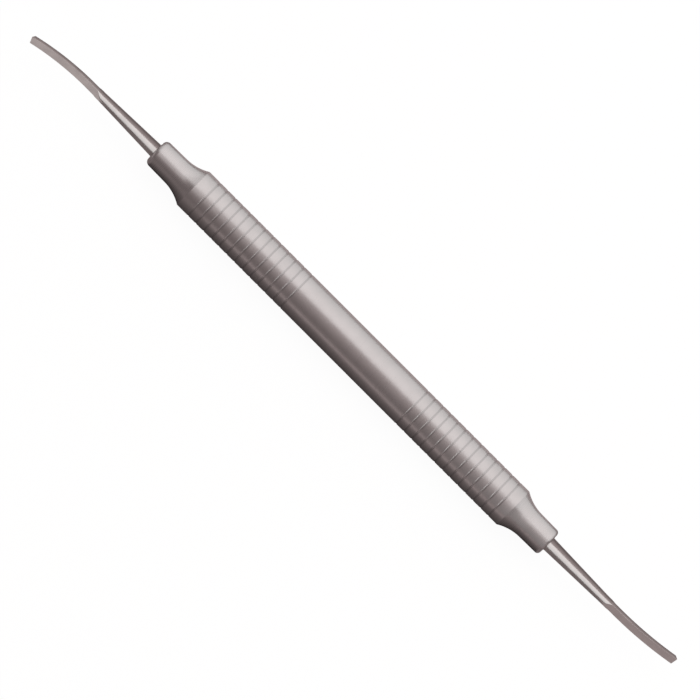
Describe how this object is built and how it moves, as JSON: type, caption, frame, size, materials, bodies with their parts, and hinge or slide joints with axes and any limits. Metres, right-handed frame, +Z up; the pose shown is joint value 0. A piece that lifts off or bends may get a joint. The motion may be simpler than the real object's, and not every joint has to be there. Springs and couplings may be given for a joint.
{
  "type": "dental hand instrument",
  "caption": "Double-ended dental elevator or chisel: slim hollow handle with grooved grip bands, flared nose pieces and tapered shanks ground to flat, gently curved, bevelled blades.",
  "frame": {"origin": "on the handle's axis, in the middle of the handle, which is within 0.3 mm of halfway between the two tips", "axes": "+X along the handle towards end B; +Y is the way the blade of end B curves, and the blade of end A curves to -Y; +Z up, along the width of both blades"},
  "size_m": [0.1828, 0.0094, 0.0094],
  "materials": {
    "handle_steel": "satin, turned round the axis",
    "nose_steel": "satin, turned round the axis",
    "blade_steel": "polished shank, fine-ground blade",
    "braze": "smooth silver braze"
  },
  "bodies": {
    "root": {"handle_tube": "handle_steel", "nose_piece_a": "nose_steel", "nose_piece_b": "nose_steel", "working_end_a": "blade_steel", "working_end_b": "blade_steel", "joint_braze_a": "braze", "joint_braze_b": "braze", "mouth_braze_a": "braze", "mouth_braze_b": "braze"}
  },
  "joints": []
}
